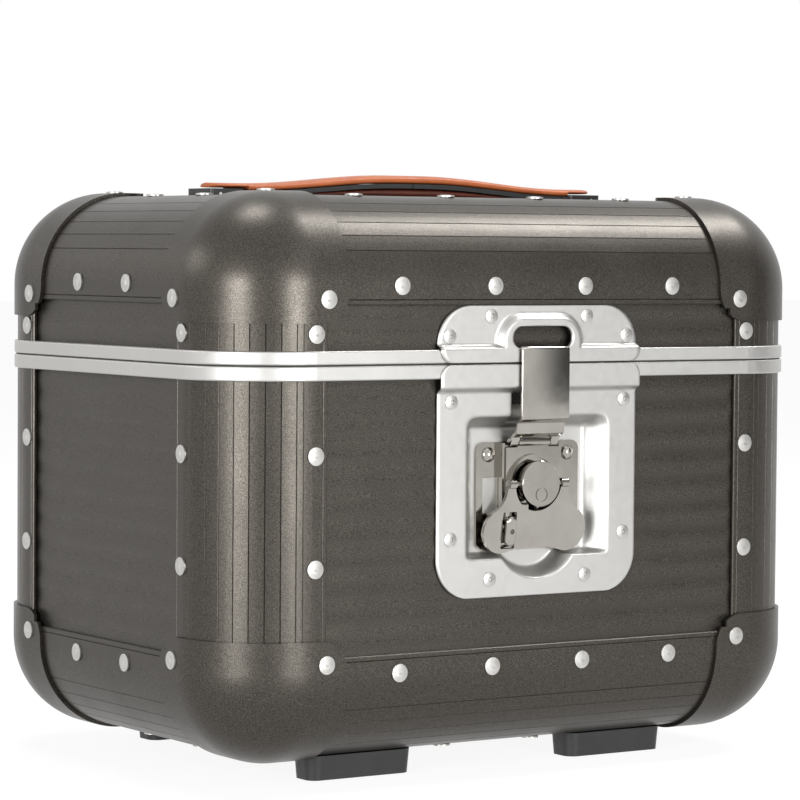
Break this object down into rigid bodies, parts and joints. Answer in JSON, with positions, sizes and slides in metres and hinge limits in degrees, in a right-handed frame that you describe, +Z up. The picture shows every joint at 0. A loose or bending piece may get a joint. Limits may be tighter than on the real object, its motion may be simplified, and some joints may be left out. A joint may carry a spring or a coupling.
{
  "type": "hard-sided beauty case",
  "caption": "Hard-sided metal beauty case with rounded corner caps, riveted edges, hinged lid, recessed butterfly latch, leather top handle and an inner sliding tray.",
  "frame": {"origin": "middle of the footprint, on the plane of the feet", "axes": "+X along the latch face, to the right seen from the front; -Y towards the latch face; +Z up"},
  "size_m": [0.3306, 0.2434, 0.275],
  "materials": {
    "body_paint": "bronze-grey metallic paint with a fine sparkle",
    "satin_plate": "satin silver",
    "rivet_metal": "satin silver",
    "latch_chrome": "polished",
    "hardware_steel": "satin",
    "black_plastic": "fine texture",
    "cognac_leather": "fine grain",
    "seal_rubber": "matt",
    "lining_fabric": "fine twill",
    "tray_shell": "fine grain",
    "mirror_glass": "polished"
  },
  "bodies": {
    "base": {"base_panel_front": "body_paint", "base_panel_rear": "body_paint", "base_panel_bottom": "body_paint", "base_panels_side": "body_paint", "base_rails_long": "body_paint", "base_rails_short": "body_paint", "base_posts": "body_paint", "base_cap_front_left": "body_paint", "base_cap_front_right": "body_paint", "base_cap_rear_left": "body_paint", "base_cap_rear_right": "body_paint", "base_frame": "satin_plate", "frame_seal": "seal_rubber", "base_rivets": "rivet_metal", "dish_plate": "satin_plate", "dish_rivets": "rivet_metal", "latch_base_plate": "latch_chrome", "latch_plate_rivets": "latch_chrome", "feet": "black_plastic", "foot_screws": "hardware_steel", "base_lining": "lining_fabric", "latch_cover": "lining_fabric", "hinge_base_leaves": "hardware_steel", "hinge_pins": "hardware_steel", "tray_ledges": "lining_fabric"},
    "lid": {"lid_panels_long": "body_paint", "lid_panel_top": "body_paint", "lid_panels_side": "body_paint", "lid_rails_long": "body_paint", "lid_rails_short": "body_paint", "lid_posts": "body_paint", "lid_cap_front_left": "body_paint", "lid_cap_front_right": "body_paint", "lid_cap_rear_left": "body_paint", "lid_cap_rear_right": "body_paint", "lid_frame": "satin_plate", "lid_rivets": "rivet_metal", "keeper_plate": "satin_plate", "keeper_rivets": "rivet_metal", "hinge_lid_leaves": "hardware_steel", "lid_lining": "lining_fabric", "mirror": "mirror_glass", "mirror_frame": "tray_shell", "handle_anchors": "black_plastic", "handle_screws": "hardware_steel", "handle_pin_left": "hardware_steel"},
    "latch_rotor": {"latch_rotor": "latch_chrome", "wing_pin": "latch_chrome"},
    "latch_wing": {"wing": "latch_chrome"},
    "latch_lock": {"lock_plug": "latch_chrome", "lock_cam": "latch_chrome"},
    "latch_carriage": {"latch_carriage": "latch_chrome", "hasp_pin": "latch_chrome"},
    "latch_hasp": {"hasp": "latch_chrome"},
    "handle_left": {"handle_core_left": "black_plastic", "handle_grip_left": "cognac_leather"},
    "handle_right": {"handle_core_right": "black_plastic", "handle_grip_right": "cognac_leather", "handle_pin_right": "hardware_steel"},
    "tray": {"tray": "tray_shell"}
  },
  "joints": [
    {"name": "lid_hinge", "type": "hinge", "parent": "base", "child": "lid", "pos_m": [0, 0.12, 0.1885], "axis": [-1, 0, 0], "range_deg": [0, 100]},
    {"name": "wing_turn", "type": "hinge", "parent": "base", "child": "latch_rotor", "pos_m": [0, -0.11655, 0.1335], "axis": [0, -1, 0], "range_deg": [0, 180]},
    {"name": "wing_fold", "type": "hinge", "parent": "latch_rotor", "child": "latch_wing", "pos_m": [0, -0.11605, 0.1335], "axis": [-1, 0, 0], "range_deg": [0, 90]},
    {"name": "carriage_lift", "type": "slide", "parent": "base", "child": "latch_carriage", "axis": [0, 0, 1], "range_m": [0, 0.01]},
    {"name": "hasp_swing", "type": "hinge", "parent": "latch_carriage", "child": "latch_hasp", "pos_m": [0, -0.11155, 0.1523], "axis": [1, 0, 0], "range_deg": [0, 45]},
    {"name": "lock_turn", "type": "hinge", "parent": "latch_wing", "child": "latch_lock", "pos_m": [-0.0146, -0.1131, 0.11251], "axis": [0, 0.9903, 0.1392], "range_deg": [0, 90]},
    {"name": "handle_lift", "type": "hinge", "parent": "lid", "child": "handle_left", "pos_m": [-0.1065, 0, 0.2646], "axis": [0, -1, 0], "range_deg": [0, 10]},
    {"name": "handle_bend", "type": "hinge", "parent": "handle_left", "child": "handle_right", "pos_m": [0, 0, 0.2645], "axis": [0, -1, 0], "range_deg": [-20, 0]},
    {"name": "tray_slide", "type": "slide", "parent": "base", "child": "tray", "axis": [0, -1, 0], "range_m": [0, 0.075]}
  ],
  "couplings": [
    {"joint": "wing_turn", "follows": "carriage_lift", "rad_per_m": 314.16},
    {"joint": "wing_fold", "follows": "carriage_lift", "rad_per_m": 157.08},
    {"joint": "handle_bend", "follows": "handle_lift", "ratio": -2}
  ]
}
